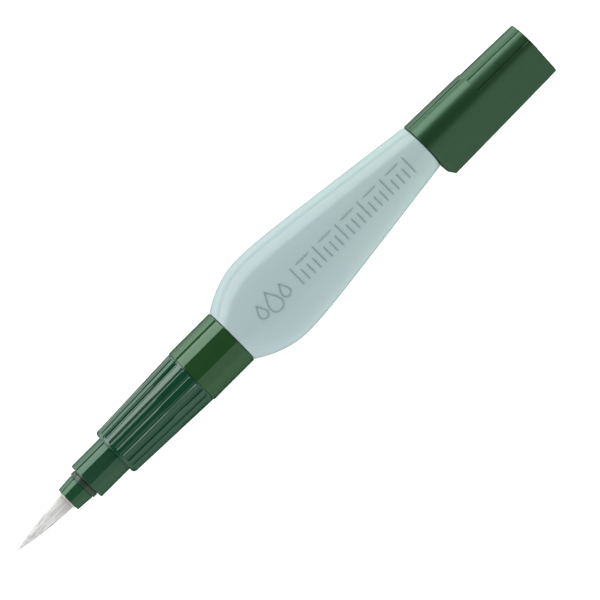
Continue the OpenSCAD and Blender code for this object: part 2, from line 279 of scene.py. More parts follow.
def stretched(nodes, links, scale):
    """Object coordinates, scaled by axis."""
    place = nodes.new("ShaderNodeTexCoord")
    mapping = nodes.new("ShaderNodeMapping")
    mapping.inputs["Scale"].default_value = scale
    links.new(place.outputs["Object"], mapping.inputs["Vector"])
    return mapping.outputs["Vector"]


def bump(nodes, links, shader, height, strength, distance):
    node = nodes.new("ShaderNodeBump")
    node.inputs["Strength"].default_value = strength
    node.inputs["Distance"].default_value = distance
    links.new(height, node.inputs["Height"])
    links.new(node.outputs["Normal"], shader.inputs["Normal"])


def tinted(color, factor):
    return tuple(min(1, channel * factor) for channel in color)


# the greens' highlights are green in the photo, so each family of greens tints its own gloss
GREEN_GLOSS = {"specular": 0.37, "gloss_tint": (0.68, 1, 0.76)}
GRIP_GLOSS = {"specular": 0.45, "gloss_tint": (0.82, 1, 0.9)}
CAP_GLOSS = {"specular": 0.42, "gloss_tint": (0.62, 1, 0.72)}


def moulded(name, color, rough, grain=0.12, specular=0.25, gloss_tint=(1, 1, 1)):
    """Injection-moulded plastic: faint flow lines along the pen, and a fine orange-peel surface."""
    material, nodes, links, shader = new_material(name)
    flow = noise(nodes, links, stretched(nodes, links, (300, 2200, 2200)), 1.0, 3.0)
    cloud = noise(nodes, links, stretched(nodes, links, (260, 260, 260)), 1.0, 2.0)
    streaks = ranged(nodes, links, flow, 0.3, 0.7, 0, 1)
    tone = mixed(nodes, links, streaks, tinted(color, 0.94), tinted(color, 1.06))
    patches = ranged(nodes, links, cloud, 0.2, 0.8, 0, 0.4)
    tone = mixed(nodes, links, patches, tone, tinted(color, 0.95))
    links.new(tone, shader.inputs["Base Color"])
    links.new(ranged(nodes, links, cloud, 0.2, 0.8, rough * 0.9, rough * 1.1), shader.inputs["Roughness"])
    peel = noise(nodes, links, stretched(nodes, links, (1300, 1300, 1300)), 1.0, 2.0)
    bump(nodes, links, shader, peel, grain, 0.004 * MM)
    shader.inputs["Specular IOR Level"].default_value = specular
    shader.inputs["Specular Tint"].default_value = (*gloss_tint, 1)
    return material


def elastomer(name, color, rough=0.45):
    """Soft rubber with a fine speckle."""
    material, nodes, links, shader = new_material(name)
    speck = noise(nodes, links, stretched(nodes, links, (5200, 5200, 5200)), 1.0, 5.0)
    share = ranged(nodes, links, speck, 0.3, 0.7, 0, 1)
    links.new(mixed(nodes, links, share, tinted(color, 0.9), tinted(color, 1.1)), shader.inputs["Base Color"])
    links.new(ranged(nodes, links, speck, 0.3, 0.7, rough * 0.9, rough * 1.1), shader.inputs["Roughness"])
    bump(nodes, links, shader, speck, 0.15, 0.01 * MM)
    shader.inputs["Specular IOR Level"].default_value = 0.25
    return material


def milky_tank(name, cool, warm, edge):
    """Soft translucent plastic, cooler over the belly and greener towards the tail."""
    material, nodes, links, shader = new_material(name)
    place = nodes.new("ShaderNodeTexCoord")
    split = nodes.new("ShaderNodeSeparateXYZ")
    links.new(place.outputs["Object"], split.inputs[0])
    cloud = noise(nodes, links, stretched(nodes, links, (90, 150, 150)), 1.0, 2.0)
    along = ranged(nodes, links, split.outputs["X"], TANK_LO.x * 0.2, TANK_HI.x, 0, 1)
    tone = mixed(nodes, links, along, cool, warm)
    tone = mixed(nodes, links, ranged(nodes, links, cloud, 0.1, 0.9, 0, 0.3), tone, edge)
    links.new(tone, shader.inputs["Base Color"])
    links.new(ranged(nodes, links, cloud, 0.1, 0.9, 0.15, 0.19), shader.inputs["Roughness"])
    peel = noise(nodes, links, stretched(nodes, links, (900, 1300, 1300)), 1.0, 2.0)
    bump(nodes, links, shader, peel, 0.2, 0.004 * MM)
    shader.inputs["Subsurface Weight"].default_value = 0.15
    shader.inputs["Subsurface Radius"].default_value = (0.6, 1.0, 1.0)
    shader.inputs["Subsurface Scale"].default_value = 0.5 * MM
    shader.inputs["Specular IOR Level"].default_value = 0.17
    return material


def filament_white(name, light, shade):
    """Synthetic hair: streaks that run along the filaments, and painted shade that darkens them near the
    collar.
    """
    material, nodes, links, shader = new_material(name)
    streak = noise(nodes, links, stretched(nodes, links, (90, 5200, 5200)), 1.0, 3.0)
    place = nodes.new("ShaderNodeTexCoord")
    split = nodes.new("ShaderNodeSeparateXYZ")
    links.new(place.outputs["Object"], split.inputs[0])
    # painted shade: the filaments darken over the last 3 mm before they enter the collar
    collar_shade_share = ranged(nodes, links, split.outputs["X"], COLLAR_LO.x - 3 * MM, COLLAR_LO.x, 0, 0.6)
    tone = mixed(nodes, links, ranged(nodes, links, streak, 0.38, 0.62, 0, 1), shade, light)
    tone = mixed(nodes, links, collar_shade_share, tone, tinted(shade, 0.8))
    links.new(tone, shader.inputs["Base Color"])
    links.new(ranged(nodes, links, streak, 0.3, 0.7, 0.34, 0.5), shader.inputs["Roughness"])
    bump(nodes, links, shader, streak, 0.2, 0.02 * MM)
    shader.inputs["Sheen Weight"].default_value = 0.15
    return material


def foam(name, color):
    """Open-cell fibre, with painted shade that darkens the hollow middle of each cell."""
    material, nodes, links, shader = new_material(name)
    cells = nodes.new("ShaderNodeTexVoronoi")
    cells.inputs["Scale"].default_value = 1.0
    links.new(stretched(nodes, links, (4200, 4200, 4200)), cells.inputs["Vector"])
    # painted shade: each cell's middle, which the bump sinks, is darker than its rim
    links.new(mixed(nodes, links, cells.outputs["Distance"], tinted(color, 0.6), tinted(color, 1.15)),
              shader.inputs["Base Color"])
    shader.inputs["Roughness"].default_value = 0.9
    bump(nodes, links, shader, cells.outputs["Distance"], 0.6, 0.08 * MM)
    return material


MAT = {
    "bristle": filament_white("bristle", (0.84, 0.83, 0.82), (0.58, 0.565, 0.55)),
    "collar_white": moulded("collar_white", (0.66, 0.64, 0.61), 0.4),
    "nose_green": moulded("nose_green", (0.014, 0.058, 0.026), 0.07, **GREEN_GLOSS),
    "seal_grey": elastomer("seal_grey", (0.024, 0.05, 0.034), 0.16),
    "sleeve_green": moulded("sleeve_green", (0.014, 0.0535, 0.027), 0.06, **GREEN_GLOSS),
    "feed_white": moulded("feed_white", (0.64, 0.64, 0.61), 0.45),
    "sponge_grey": foam("sponge_grey", (0.36, 0.39, 0.42)),
    "plug_black": moulded("plug_black", (0.018, 0.018, 0.02), 0.4),
    "grip_green": moulded("grip_green", (0.0055, 0.05, 0.023), 0.06, **GRIP_GLOSS),
    "ring_green": moulded("ring_green", (0.0155, 0.057, 0.0165), 0.06, **GREEN_GLOSS),
    "gasket": elastomer("gasket", (0.1, 0.12, 0.11)),
    "tank_mint": milky_tank("tank_mint", (0.40, 0.50, 0.505), (0.385, 0.51, 0.48), (0.415, 0.51, 0.515)),
    # the marks' darker mint is partly the deeper tone of thicker plastic and partly painted shade on the
    # raised strokes
    "tank_mark_shaded": milky_tank("tank_mark_shaded", (0.25, 0.325, 0.335), (0.24, 0.325, 0.31), (0.26, 0.33, 0.34)),
    "cap_green": moulded("cap_green", (0.0095, 0.0415, 0.014), 0.3, grain=0.3, **CAP_GLOSS),
    "liner_white": moulded("liner_white", (0.62, 0.63, 0.6), 0.4),
}

NODE_SLOTS = {
    "bristle_collar": "collar_white",
    "bristle_root": "collar_white",
    "feed_core": "feed_white",
    "filter_sponge": "sponge_grey",
    "metering_plug": "plug_black",
    "neck_gasket": "gasket",
    "cap_liner": "liner_white",
}
for node_name, slot_name in NODE_SLOTS.items():
    cad_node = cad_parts[node_name]
    if not cad_node.material_slots:
        cad_node.data.materials.append(MAT[slot_name])
    for material_slot in cad_node.material_slots:
        material_slot.material = MAT[slot_name]

# ---------------------------------------------------------------- bristles

BUNDLE_R = half_width(BRISTLE_LO, BRISTLE_HI)
BUNDLE_POWER = 1.9


def bundle_r(t):
    """Radius of the whole bundle, with t from 0 at the tip to 1 at the collar."""
    return BUNDLE_R * (1 - (1 - min(1, max(0, t))) ** BUNDLE_POWER)


def filament(mesh, base, side, tip_at, bow):
    """One tapered filament that starts at base, a point in the collar's disc, and runs to the tip."""
    sides = 5
    rows = 13
    length = COLLAR_LO.x - BRISTLE_LO.x
    rings = []
    for i in range(rows + 1):
        share = i / rows
        t = 1.04 - (1.04 - tip_at) * share
        spread = bundle_r(t) / BUNDLE_R
        lean = bow * math.sin(math.pi * share)
        centre_y = base[0] * spread + lean * side[0] * spread
        centre_z = base[1] * spread + lean * side[1] * spread
        radius = 0.085 * MM * max(0.3, spread ** 0.85) * min(1, (1 - share) / 0.1 + 0.25)
        x = BRISTLE_LO.x + t * length
        rings.append([
            (
                x,
                centre_y + radius * math.cos(math.tau * k / sides),
                AXIS_Z + centre_z + radius * math.sin(math.tau * k / sides),
            )
            for k in range(sides)
        ])
    last = rings[-1]
    tip = (last[0][0], sum(p[1] for p in last) / sides, sum(p[2] for p in last) / sides)
    root = (rings[0][0][0], base[0], AXIS_Z + base[1])
    bridge(mesh, rings, pole_start=root, pole_end=tip)


def make_bristles():
    draw = random.Random(7)
    golden = math.pi * (3 - math.sqrt(5))
    count = 520
    mesh = bmesh.new()
    for i in range(count):
        reach = math.sqrt((i + 0.5) / count) * (BUNDLE_R - 0.09 * MM)
        angle = i * golden
        base = (reach * math.cos(angle), reach * math.sin(angle))
        turn = draw.uniform(0, math.tau)
        side = (math.cos(turn), math.sin(turn))
        outer = reach / BUNDLE_R
        tip_at = abs(draw.gauss(0, 0.02)) + 0.01 * outer
        if i % 7 == 0:
            tip_at += draw.uniform(0.04, 0.3)
        filament(mesh, base, side, max(0.002, tip_at), draw.uniform(-0.05, 0.05) * MM)
    fibres = add_object("bristle_filaments", mesh, sharp_deg=180)
    finish_piece(fibres, "brush_head", "bristle", MAT["bristle"], "bristle_bundle")

    core = bmesh.new()
    rows = 28
    rings = []
    for i in range(1, rows + 1):
        t = i / rows
        x = BRISTLE_LO.x + t * (COLLAR_LO.x - BRISTLE_LO.x)
        rings.append(circle(x, 0.9 * bundle_r(t), 40))
    rings.append(circle(BRISTLE_HI.x, BUNDLE_R * 0.97, 40))
    tip = (BRISTLE_LO.x + 0.1 * MM, 0, AXIS_Z)
    bridge(core, rings, pole_start=tip, pole_end=(BRISTLE_HI.x, 0, AXIS_Z))
    heart = add_object("bristle_core", core)
    finish_piece(heart, "brush_head", "bristle", MAT["bristle"], "bristle_bundle")


# ---------------------------------------------------------------- nose, seal ring and front sleeve

NOSE_SPIGOT_R = 2.6 * MM
SLEEVE_R = half_width(SLEEVE_LO, SLEEVE_HI)
TUBE_R = SLEEVE_R - 0.3 * MM


def make_nose():
    front_r = 2.65 * MM
    rear_r = 2.9 * MM
    bore_r = half_width(COLLAR_LO, COLLAR_HI) + FIT_GAP
    root_r = half_width(ROOT_LO, ROOT_HI) + FIT_GAP
    seat_r = rear_r - 0.14 * MM
    mesh = bmesh.new()
    turned(mesh, [
        (NOSE_LO.x, bore_r, 0.06 * MM),
        (NOSE_LO.x, front_r, 0.22 * MM),
        (SEAL_LO.x - 0.16 * MM, rear_r, 0.05 * MM),
        (SEAL_LO.x - 0.1 * MM, seat_r, 0.02 * MM),
        (SEAL_LO.x, seat_r, 0.02 * MM),
        (SEAL_LO.x, NOSE_SPIGOT_R, 0),
        (NOSE_HI.x, NOSE_SPIGOT_R, 0.1 * MM),
        (NOSE_HI.x, root_r, 0),
        (ROOT_LO.x, root_r, 0),
        (ROOT_LO.x, bore_r, 0),
    ])
    nose = add_object("nose_cone_shell", mesh)
    finish_piece(nose, "brush_head", "nose_green", MAT["nose_green"], "nose_cone")


def make_seal():
    outer_r = half_width(SEAL_LO, SEAL_HI)
    lip_r = outer_r - 0.16 * MM
    bore_r = NOSE_SPIGOT_R + FIT_GAP
    mesh = bmesh.new()
    turned(mesh, [
        (SEAL_LO.x, bore_r, 0),
        (SEAL_LO.x, outer_r, 0.26 * MM),
        (SEAL_HI.x - 0.18 * MM, outer_r, 0.1 * MM),
        (SEAL_HI.x - 0.14 * MM, lip_r, 0.03 * MM),
        (SEAL_HI.x, lip_r, 0),
        (SEAL_HI.x, bore_r, 0),
    ])
    seal = add_object("seal_ring_soft", mesh)
    finish_piece(seal, "brush_head", "seal_grey", MAT["seal_grey"], "seal_ring")


def make_sleeve():
    nose_bore_r = NOSE_SPIGOT_R + FIT_GAP
    feed_bore_r = 1.65 * MM
    plug_bore_r = 2.52 * MM
    nose_bore_x = NOSE_HI.x + 0.1 * MM
    sponge_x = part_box("filter_sponge")[0].x
    mesh = bmesh.new()
    turned(mesh, [
        (SLEEVE_LO.x, nose_bore_r, 0),
        (SLEEVE_LO.x, SLEEVE_R, 0.32 * MM),
        (GRIP_LO.x, SLEEVE_R, 0.02 * MM),
        (GRIP_LO.x, TUBE_R, 0),
        (SLEEVE_HI.x, TUBE_R, 0.08 * MM),
        (SLEEVE_HI.x, plug_bore_r, 0.08 * MM),
        (sponge_x, plug_bore_r, 0),
        (sponge_x, feed_bore_r, 0),
        (nose_bore_x, feed_bore_r, 0),
        (nose_bore_x, nose_bore_r, 0),
    ])
    sleeve = add_object("front_sleeve_tube", mesh)
    finish_piece(sleeve, "brush_head", "sleeve_green", MAT["sleeve_green"], "front_sleeve")


# ---------------------------------------------------------------- fluted grip

FLUTES = 21
FLUTE_R = 0.42 * MM
FLUTE_DEPTH = 0.27 * MM
FLUTE_HALF_W = math.sqrt(FLUTE_R ** 2 - (FLUTE_R - FLUTE_DEPTH) ** 2)
GRIP_FRONT_R = 5.25 * MM
GRIP_REAR_R = 6.0 * MM
GRIP_EDGE_R = 0.7 * MM
GRIP_REAR_EDGE_R = 0.1 * MM
SOCKET_DEPTH = 5.0 * MM
RING_SPIGOT_R = 4.97 * MM


def grip_ring(x, radius, around, flute_start, flute_end):
    """Ring of the grip's skin at a place along the axis, with its flutes cut in."""
    points = []
    pitch = math.tau / FLUTES
    for k in range(around):
        angle = math.tau * k / around
        off = (angle + pitch / 2) % pitch - pitch / 2
        across = abs(off) * radius
        # the cutter's round nose narrows the flute at both ends
        nose = min(x - flute_start, flute_end - x) / FLUTE_HALF_W
        narrow = math.sqrt(max(0.0, 1 - (1 - min(1, nose)) ** 2)) if nose > 0 else 0.0
        depth = 0.0
        if across < FLUTE_R:
            depth = max(0.0, math.sqrt(FLUTE_R ** 2 - across ** 2) - (FLUTE_R - FLUTE_DEPTH * narrow))
        r = radius - depth
        points.append((x, r * math.cos(angle), AXIS_Z + r * math.sin(angle)))
    return points


def make_grip():
    around = FLUTES * 22
    flute_start = GRIP_LO.x + 0.75 * MM
    flute_end = GRIP_HI.x - 0.28 * MM
    length = GRIP_HI.x - GRIP_LO.x

    def taper_r(x):
        return GRIP_FRONT_R + (GRIP_REAR_R - GRIP_FRONT_R) * (x - GRIP_LO.x) / length

    skin = [
        (GRIP_LO.x + GRIP_EDGE_R * from_cos, GRIP_FRONT_R - GRIP_EDGE_R * from_sin)
        for from_cos, from_sin in quarter_turn(6)
    ]
    # rings stand close together where the flutes run out, and 1 mm apart between
    run_out = [0.05 * k * MM for k in range(13)] + [0.75 * MM, 0.95 * MM, 1.2 * MM]
    body = [flute_start + reach for reach in run_out[1:]]
    body += every(flute_start + 2.2 * MM, flute_end - 1.6 * MM, 1.0 * MM)
    body += [flute_end - reach for reach in reversed(run_out)]
    skin += [(x, taper_r(x)) for x in body]
    rear_r = taper_r(GRIP_HI.x)
    skin += [
        (GRIP_HI.x - GRIP_REAR_EDGE_R * from_sin, rear_r - GRIP_REAR_EDGE_R * from_cos)
        for from_cos, from_sin in quarter_turn(3)
    ]
    rings = [grip_ring(x, r, around, flute_start, flute_end) for x, r in skin]

    socket_r = RING_SPIGOT_R + FIT_GAP
    socket_x = GRIP_HI.x - SOCKET_DEPTH
    bore_r = TUBE_R + FIT_GAP
    rings += circles([
        (GRIP_HI.x, rear_r - 0.3 * MM),
        (GRIP_HI.x, socket_r + 0.06 * MM),
        (GRIP_HI.x - 0.1 * MM, socket_r),
        (socket_x, socket_r),
        (socket_x, bore_r),
        (GRIP_LO.x, bore_r),
        (GRIP_LO.x, bore_r + 0.1 * MM),
    ], around)
    mesh = bmesh.new()
    bridge(mesh, rings, close_path=True)
    grip = add_object("grip_sleeve_fluted", mesh, sharp_deg=50)
    finish_piece(grip, "brush_head", "grip_green", MAT["grip_green"], "grip_sleeve")


# ---------------------------------------------------------------- coupling collar and thread

PITCH = 2.2 * MM
THREAD_TURNS = 2
THREAD_BASE_W = PITCH * 0.4
THREAD_CREST_W = PITCH * 0.18
NECK_R = 4.3 * MM
THREAD_DEPTH = 0.55 * MM
THREAD_GAP = 0.15 * MM
THREAD_LEAD = 2.4 * MM
THREAD_SINK = 0.05 * MM


def make_collar():
    outer_r = half_width(RING_LO, RING_HI)
    bore_r = TUBE_R + FIT_GAP
    socket_r = NECK_R + THREAD_DEPTH + THREAD_GAP
    front_r = NECK_R + THREAD_GAP
    widen_x = GASKET_HI.x + THREAD_LEAD - THREAD_BASE_W
    mesh = bmesh.new()
    turned(mesh, [
        (RING_LO.x, bore_r, 0),
        (RING_LO.x, RING_SPIGOT_R, 0.15 * MM),
        (GRIP_HI.x, RING_SPIGOT_R, 0),
        (GRIP_HI.x, outer_r, 0.2 * MM),
        (RING_HI.x, outer_r, 0.16 * MM),
        (RING_HI.x, socket_r, 0.2 * MM),
        (widen_x, socket_r, 0.1 * MM),
        (widen_x, front_r, 0.1 * MM),
        (GASKET_LO.x, front_r, 0),
        (GASKET_LO.x, bore_r, 0),
    ], around=192)
    thread(mesh, GASKET_HI.x + THREAD_LEAD + PITCH / 2, socket_r, front_r, PITCH, THREAD_TURNS,
           THREAD_BASE_W, THREAD_CREST_W, THREAD_SINK)
    collar = add_object("coupling_collar_ring", mesh)
    finish_piece(collar, "brush_head", "ring_green", MAT["ring_green"], "coupling_collar")


# ---------------------------------------------------------------- tank

TANK_FRONT = RING_HI.x + SEAT_GAP
TANK_REAR = CAP_LO.x - SEAT_GAP
TANK_LEN = TANK_REAR - TANK_FRONT
BELLY_AT = 11 * MM
BELLY_W = half_width(TANK_LO, TANK_HI)
BELLY_T = (TANK_HI.z - TANK_LO.z) / 2
FRONT_R = half_width(RING_LO, RING_HI)
REAR_R = 5.1 * MM
TANK_WALL = 0.9 * MM
BELLY_ROUND = 0.14
BELLY_POWER = 2.4
POST_R = SLEEVE_R
POST_EDGE_R = 0.4 * MM
POST_BORE_R = POST_R - TANK_WALL
NECK_BORE_R = 3.1 * MM


def fall(z):
    """Share of the way from the belly down to the end, at a distance z behind the tank's front."""
    if z < BELLY_AT:
        return (1 - z / BELLY_AT) ** 2
    t = (z - BELLY_AT) / (TANK_LEN - BELLY_AT)
    soft = BELLY_ROUND
    return (math.sqrt(t * t + soft * soft) - soft) / (math.sqrt(1 + soft * soft) - soft)


def tank_half(z, belly):
    end = FRONT_R if z < BELLY_AT else REAR_R
    return belly - (belly - end) * fall(min(max(z, 0), TANK_LEN))


def tank_power(z):
    full = BELLY_W - BELLY_T
    return 2 + (BELLY_POWER - 2) * (tank_half(z, BELLY_W) - tank_half(z, BELLY_T)) / full


def signed_power(value, power):
    return math.copysign(abs(value) ** power, value)


def tank_ring(z, inset, around):
    power = 2 / tank_power(z)
    wide = tank_half(z, BELLY_W) - inset
    thick = tank_half(z, BELLY_T) - inset
    points = []
    for k in range(around):
        angle = math.tau * k / around
        points.append((
            TANK_FRONT + z,
            wide * signed_power(math.cos(angle), power),
            AXIS_Z + thick * signed_power(math.sin(angle), power),
        ))
    return points


def tank_top(z, y):
    """Height of the tank's upper skin over a point of the XY plane."""
    power = tank_power(z)
    share = min(0.999, abs(y) / tank_half(z, BELLY_W))
    return AXIS_Z + tank_half(z, BELLY_T) * (1 - share ** power) ** (1 / power)


def tank_ring_at(z_place, z_shape, inset, around):
    """The tank's ring of one place, moved along the axis to another."""
    return [(TANK_FRONT + z_place, y, h) for _, y, h in tank_ring(z_shape, inset, around)]


def rounded_end(z_end, edge_r, facing, steps, around):
    """Rings of a rounded end of the skin, from the skin inward to the end's plane."""
    z_shape = z_end - facing * edge_r
    return [
        tank_ring_at(z_end - facing * edge_r * from_sin, z_shape, edge_r * from_cos, around)
        for from_cos, from_sin in quarter_turn(steps)[1:]
    ]


def make_tank():
    around = 224
    front_edge = 0.22 * MM
    rear_edge = 0.5 * MM
    post_end = TANK_HI.x
    neck_x = TANK_LO.x

    # inside: the post's bore, then the reservoir
    bore_end = post_end - TANK_WALL
    inner_rear = TANK_LEN - TANK_WALL
    inner_rows = 30
    rings = circles([(bore_end, POST_BORE_R), (TANK_FRONT + inner_rear, POST_BORE_R)], around)
    for i in range(inner_rows + 1):
        rings.append(tank_ring(inner_rear + (TANK_WALL - inner_rear) * i / inner_rows, TANK_WALL, around))
    # the neck, from its bore round its mouth to the tank's front
    rings += circles([
        (TANK_FRONT + TANK_WALL, NECK_BORE_R),
        (neck_x + 0.15 * MM, NECK_BORE_R),
        (neck_x, NECK_BORE_R + 0.15 * MM),
        (neck_x, NECK_R - 0.3 * MM),
        (neck_x + 0.1 * MM, NECK_R - 0.08 * MM),
        (neck_x + 0.3 * MM, NECK_R),
        (TANK_FRONT - 0.25 * MM, NECK_R),
        (TANK_FRONT - 0.07 * MM, NECK_R + 0.07 * MM),
        (TANK_FRONT, NECK_R + 0.25 * MM),
    ], around)
    # the bulb's skin
    rings += list(reversed(rounded_end(0, front_edge, -1, 4, around)))
    last_row = TANK_LEN - rear_edge - 0.05 * MM
    rows = [front_edge + 0.05 * MM] + [front_edge + 0.35 * MM * k for k in range(1, 34)]
    rows += every(rows[-1] + 0.5 * MM, last_row - 0.05 * MM, 0.5 * MM) + [last_row]
    rings += [tank_ring(z, 0, around) for z in rows]
    rings += rounded_end(TANK_LEN, rear_edge, 1, 7, around)
    # the post
    rings += circles([
        (TANK_REAR, POST_R + 0.2 * MM),
        (TANK_REAR + 0.06 * MM, POST_R + 0.05 * MM),
        (TANK_REAR + 0.2 * MM, POST_R),
        (post_end - POST_EDGE_R - 0.1 * MM, POST_R),
    ], around)
    rings += circles([
        (post_end - POST_EDGE_R * from_sin, POST_R - POST_EDGE_R * from_cos)
        for from_cos, from_sin in quarter_turn(3)
    ], around)
    mesh = bmesh.new()
    bridge(mesh, rings, pole_start=(bore_end, 0, AXIS_Z), pole_end=(post_end, 0, AXIS_Z))
    thread(mesh, TANK_LO.x + THREAD_LEAD, NECK_R, NECK_R + THREAD_DEPTH, PITCH, THREAD_TURNS,
           THREAD_BASE_W, THREAD_CREST_W, THREAD_SINK)
    tank = add_object("tank_bulb", mesh)
    finish_piece(tank, "tank", "tank_mint", MAT["tank_mint"], "tank_shell")


def stroke(mesh, path, closed=False, width=0.26 * MM, height=0.2 * MM):
    """Raised rounded line that follows the tank's upper skin. path holds (z behind the front, y) points."""
    sink = 0.1 * MM
    rings = []
    count = len(path)
    for i, (z, y) in enumerate(path):
        ahead = path[(i + 1) % count] if closed or i + 1 < count else path[i]
        behind = path[i - 1] if closed or i > 0 else path[i]
        run = Vector((ahead[0] - behind[0], ahead[1] - behind[1])).normalized()
        side = Vector((-run.y, run.x))
        end = 1.0
        if not closed and i in (0, count - 1):
            end = 0.25
        ring = []
        for k in range(9):
            angle = math.radians(180 * k / 8)
            off = side * (math.cos(angle) * width / 2 * end)
            skin = tank_top(z + off.x, y + off.y)
            ring.append((TANK_FRONT + z + off.x, y + off.y, skin + height * math.sin(angle) * end))
        for share in (-1, 1):
            off = side * (share * width / 2 * end)
            skin = tank_top(z + off.x, y + off.y)
            ring.append((TANK_FRONT + z + off.x, y + off.y, skin - sink))
        rings.append(ring)
    bridge(mesh, rings, close_path=closed)
    if not closed:
        for ring in (rings[0], rings[-1]):
            mesh.faces.new([mesh.verts.new(point) for point in ring])


def drop_path(z, y, size):
    """Outline of a water drop that points to +Y."""
    path = []
    for k in range(48):
        angle = math.tau * k / 48
        wide = math.sin(angle) * math.sin(angle / 2) ** 1.6
        path.append((z + 0.45 * size * wide, y + size * math.cos(angle) / 2))
    return path


def make_marks():
    """Three water drops and a row of filling marks, moulded on the tank in place of lettering."""
    mid_y = -0.7 * MM
    mesh = bmesh.new()
    for z, size in ((7.0, 3.0), (10.0, 4.6), (13.0, 3.0)):
        stroke(mesh, drop_path(z * MM, mid_y, size * MM), closed=True)
    first = 16.5 * MM
    spacing = 1.5 * MM
    for i in range(21):
        z = first + i * spacing
        length = 4.2 * MM if i % 4 == 0 else 2.6 * MM
        low = mid_y - 2.1 * MM
        rows = 12
        stroke(mesh, [(z, low + length * k / rows) for k in range(rows + 1)])
        if i % 4 == 0 and i < 20:
            stroke(mesh, [(z + spacing * (0.8 + 0.48 * k), mid_y + 1.75 * MM) for k in range(6)])
    marks = add_object("tank_fill_marks", mesh, sharp_deg=60)
    # the marks take the darker mint, which partly paints shade on them
    finish_piece(marks, "tank", "tank_mint", MAT["tank_mark_shaded"])


# ---------------------------------------------------------------- cap

CAP_LEN = CAP_HI.x - CAP_LO.x
CAP_MOUTH_R = 5.08 * MM
CAP_END_R = 4.4 * MM
LOBE_MOUTH = -CAP_LO.y
LOBE_END = 7.9 * MM
LOBE_TIP_R = 1.3 * MM
LOBE_CHAMFER_LEN = 1.0 * MM
LOBE_CHAMFER_H = 1.4 * MM
FLAT_AT = CAP_LEN - 13.9 * MM
FLAT_STEP = 36  # degrees from one finger flat to the next
FLATS_TO = 90  # degrees from the side opposite the lobe to the last flat's edge
FLAT_DEPTH = 0.1 * MM
FLAT_GROOVE_DEPTH = 0.2 * MM
CHANNEL_AT = 37.5  # degrees from the side opposite the lobe
CHANNEL_DEPTH = 0.12 * MM
CHANNEL_HALF_W = 0.36 * MM
CAP_BORE_R = POST_R + 0.05 * MM
LINER_R = half_width(LINER_LO, LINER_HI) + FIT_GAP


def hull_reach(round_r, tip_r, lobe_reach, angle):
    """Distance from the axis to the cap's outline, at an angle from the middle of the lobe."""
    offset = lobe_reach - tip_r
    angle = abs(angle)
    tangent = math.acos(max(-1, min(1, (round_r - tip_r) / offset)))
    if angle >= tangent:
        return round_r
    joint = math.atan2(tip_r * math.sin(tangent), offset + tip_r * math.cos(tangent))
    if angle >= joint:
        return round_r / math.cos(tangent - angle)
    return offset * math.cos(angle) + math.sqrt(max(0, tip_r ** 2 - (offset * math.sin(angle)) ** 2))


def cap_cut(along, from_top, round_r):
    """Depth of the grooves and finger flats. from_top is in degrees, from the side opposite the lobe."""
    depth = 0.0
    side = abs(from_top)
    # one channel on each side of the front half, which ends in a round corner
    channel_end = FLAT_AT - 0.5 * MM
    if along < channel_end:
        off = abs(side - CHANNEL_AT) * math.radians(1) * round_r
        wall = 1 - smoothstep(CHANNEL_HALF_W - 0.1 * MM, CHANNEL_HALF_W, off)
        depth += CHANNEL_DEPTH * wall * smoothstep(0, 0.35 * MM, channel_end - along)
    # broad finger flats behind it, with a fine groove between neighbours
    inside = smoothstep(FLAT_AT, FLAT_AT + 0.14 * MM, along)
    if inside > 0 and side < FLATS_TO + 6:
        panel = (side + FLAT_STEP / 2) % FLAT_STEP - FLAT_STEP / 2
        chord = round_r * (1 - math.cos(math.radians(FLAT_STEP / 2)) / math.cos(math.radians(panel)))
        if side <= FLATS_TO:
            depth += inside * (chord * 0.3 + FLAT_DEPTH)
        groove = (FLAT_STEP / 2 - abs(panel)) * math.radians(1) * round_r
        depth += inside * FLAT_GROOVE_DEPTH * (1 - smoothstep(0.05 * MM, 0.2 * MM, abs(groove)))
    return depth


def circle_from_lobe(x, radius, around):
    """Circle whose points line up with those of cap_ring."""
    return [
        (x, -radius * math.cos(math.tau * k / around), AXIS_Z + radius * math.sin(math.tau * k / around))
        for k in range(around)
    ]


def cap_ring(along, shrink, cut, around):
    """Ring of the cap's skin. Its first point is the lobe's middle, which points to -Y."""
    share = along / CAP_LEN
    round_r = CAP_MOUTH_R + (CAP_END_R - CAP_MOUTH_R) * share - shrink
    lobe = LOBE_MOUTH + (LOBE_END - LOBE_MOUTH) * share - shrink
    if along < LOBE_CHAMFER_LEN:
        lobe -= LOBE_CHAMFER_H * (1 - along / LOBE_CHAMFER_LEN)
    points = []
    for k in range(around):
        angle = math.tau * k / around
        from_lobe = math.pi - abs(angle - math.pi)
        reach = hull_reach(round_r, LOBE_TIP_R, lobe, from_lobe)
        if cut:
            reach -= cap_cut(along, 180 - math.degrees(from_lobe), round_r)
        points.append((
            CAP_LO.x + along,
            -reach * math.cos(angle),
            AXIS_Z + reach * math.sin(angle),
        ))
    return points


